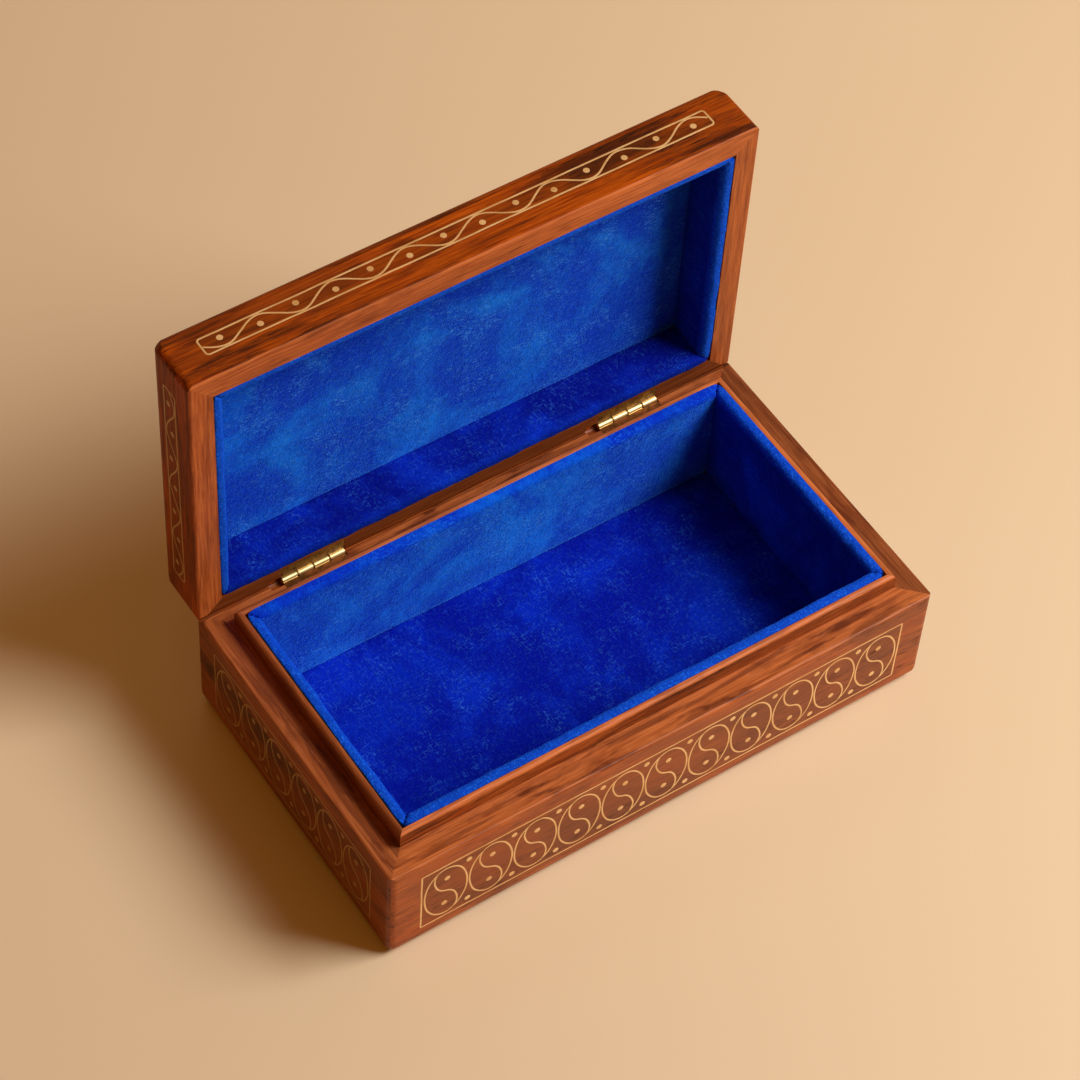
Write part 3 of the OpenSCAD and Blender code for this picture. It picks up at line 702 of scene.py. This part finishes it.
def wires(lines):
    """Wires along flat lines, each its points and whether it closes, as a bmesh."""
    curve = bpy.data.curves.new("drawing", "CURVE")
    curve.dimensions, curve.fill_mode = "2D", "NONE"
    curve.bevel_mode, curve.bevel_object, curve.use_fill_caps = "OBJECT", section, True
    for points, closes in lines:
        spline = curve.splines.new("POLY")
        spline.points.add(len(points) - 1)
        for point, (x, y, _) in zip(spline.points, points):
            point.co = (x, y, 0, 1)
        spline.use_cyclic_u = closes
    drawing = bpy.data.objects.new("drawing", curve)
    bpy.context.scene.collection.objects.link(drawing)
    seen = drawing.evaluated_get(bpy.context.evaluated_depsgraph_get())
    mesh = bpy.data.meshes.new_from_object(seen)
    bm = bmesh.new()
    bm.from_mesh(mesh)
    bpy.data.objects.remove(drawing)
    bpy.data.meshes.remove(mesh)
    bmesh.ops.remove_doubles(bm, verts=bm.verts, dist=1e-7)
    return bm


noise.seed_set(HAND_SEED)  # without this, the hand moves the wires another way on every run


def by_hand(points, seed):
    """The points moved a little, as a hand would."""
    return [p + noise.noise_vector(p * 240 + Vector((0, 0, seed))) * HAND for p in points]


def ring(centre, a, b, seed):
    turns = [math.tau * k / RING_POINTS for k in range(RING_POINTS)]
    points = [centre + Vector((a * math.cos(t), b * math.sin(t), 0)) for t in turns]
    return by_hand(points, seed), True


def eased(points, steps):
    """A smooth line through the points."""
    line = []
    for k in range(len(points) - 1):
        before, here, there, after = (points[max(k - 1, 0)], points[k], points[k + 1],
                                      points[min(k + 2, len(points) - 1)])
        line += geometry.interpolate_bezier(here, here + (there - before) / 6,
                                            there - (after - here) / 6, there, steps + 1)[:-1]
    return line + [points[-1]]


def scroll(centre, a, b, seed):
    """The S in an oval, from the oval's wire at the upper left to it at the lower right."""
    half = [Vector((x * a, y * b, 0)) for x, y in S_HALF]
    whole = half + [Vector()] + [-p for p in reversed(half)]
    return by_hand([centre + p for p in eased(whole, 5)], seed), False


def border(half_w, half_h, corner, seed):
    """A rectangle with rounded corners, with points along its sides for the hand to move."""
    points = []
    for x, y, start in ((1, -1, -90), (1, 1, 0), (-1, 1, 90), (-1, -1, 180)):
        middle = Vector((x * (half_w - corner), y * (half_h - corner), 0))
        for step in range(5):
            angle = math.radians(start + 22.5 * step)
            far = middle + Vector((math.cos(angle), math.sin(angle), 0)) * corner
            points.append(far)
        run = Vector((-2 * x * (half_w - corner), 0, 0)) if x == y else \
            Vector((0, -2 * y * (half_h - corner), 0))
        cuts = max(1, int(run.length / (6 * MM)))
        points += [far + run * k / cuts for k in range(1, cuts)]
    return by_hand(points, seed), True


def pins(places, radius):
    """Round pins with filed, slightly domed heads."""
    bm = bmesh.new()
    for place in places:
        sunk = Matrix.Translation(place - Vector((0, 0, PIN_SUNK)))
        bmesh.ops.create_cone(bm, cap_ends=True, segments=12, radius1=radius, radius2=radius,
                              depth=PIN_DEEP, matrix=sunk)
    heads = [f for f in bm.faces if f.normal.z > 0.9]
    for depth in DOME_STEPS:
        bmesh.ops.inset_individual(bm, faces=heads, thickness=0.2 * MM, depth=depth)
    return bm


def lay_in(bm, onto, name, body, node):
    """Sets flat work into its face as a piece."""
    bmesh.ops.transform(bm, matrix=onto, verts=bm.verts)
    piece(name, bm, inlay_brass, body, "inlay_brass", node)


for seed, (face, (body, across, upward, outward, repeats)) in enumerate(INLAID_FACES.items()):
    across, upward, outward = Vector(across), Vector(upward), Vector(outward)
    lo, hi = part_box(face + "_border")
    middle = (lo + hi) / 2
    surface = max(lo.dot(outward), hi.dot(outward)) - PROUD
    middle += outward * (surface - middle.dot(outward))
    onto = Matrix.Translation(middle) @ Matrix((across, upward, outward)).transposed().to_4x4()
    half_w, half_h = (abs((hi - lo).dot(way)) / 2 - WIRE_IN for way in (across, upward))
    if isinstance(repeats, int):
        lines = [border(half_w, half_h, SHARP_CORNER, seed)]
        if face == "lid_top":
            scroll_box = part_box("lid_top_scrolls")
            half_w = (scroll_box[1] - scroll_box[0]).x / 2 + END_SPACE
            half_h = (scroll_box[1] - scroll_box[0]).z / 2 / OVAL_SHARE
            lines.append(border(half_w, half_h, SHARP_CORNER, seed + 0.5))
        pitch = 2 * (half_w - END_SPACE) / repeats
        a, b = pitch / 2 - OVAL_SPACE / 2 - WIRE_W / 2, half_h * OVAL_SHARE - WIRE_W / 2
        centres = [Vector(((k - (repeats - 1) / 2) * pitch, 0, 0)) for k in range(repeats)]
        figures = [ring(c, a, b, seed) for c in centres] + [scroll(c, a, b, seed) for c in centres]
        lay_in(wires(figures), onto, "inlay_ovals_" + face, body, face + "_scrolls")
        places = [c + Vector((PIN_IN_OVAL[0] * a * way, PIN_IN_OVAL[1] * b * way, 0))
                  for c in centres for way in (-1, 1)]
        places += [c + Vector((pitch / 2, PIN_BETWEEN * b * way, 0))
                   for c in centres[:-1] for way in (-1, 1)]
    else:
        lines = [border(half_w, half_h, SOFT_CORNER, seed)]
        reach, swing, steps = half_w - STEM_END, half_h - STEM_IN, int(repeats * WAVE_POINTS)
        stem = [Vector((reach * (2 * k / steps - 1),
                        -swing * math.sin(math.tau * repeats * k / steps), 0))
                for k in range(steps + 1)]
        lay_in(wires([(by_hand(stem, seed), False)]), onto, "inlay_stem_" + face, body,
               face + "_vine")
        count = int(2 * repeats)
        places = [Vector((half_w * ((2 * k + 1) / count - 1),
                          PIN_BY_STEM * half_h * (1 - 2 * (k % 2)), 0)) for k in range(count)]
    lay_in(wires(lines), onto, "inlay_border_" + face, body, face + "_border")
    lay_in(pins(places, PIN_HEAD_R), onto, "inlay_pins_" + face, body, face + "_pins")
bpy.data.objects.remove(section)
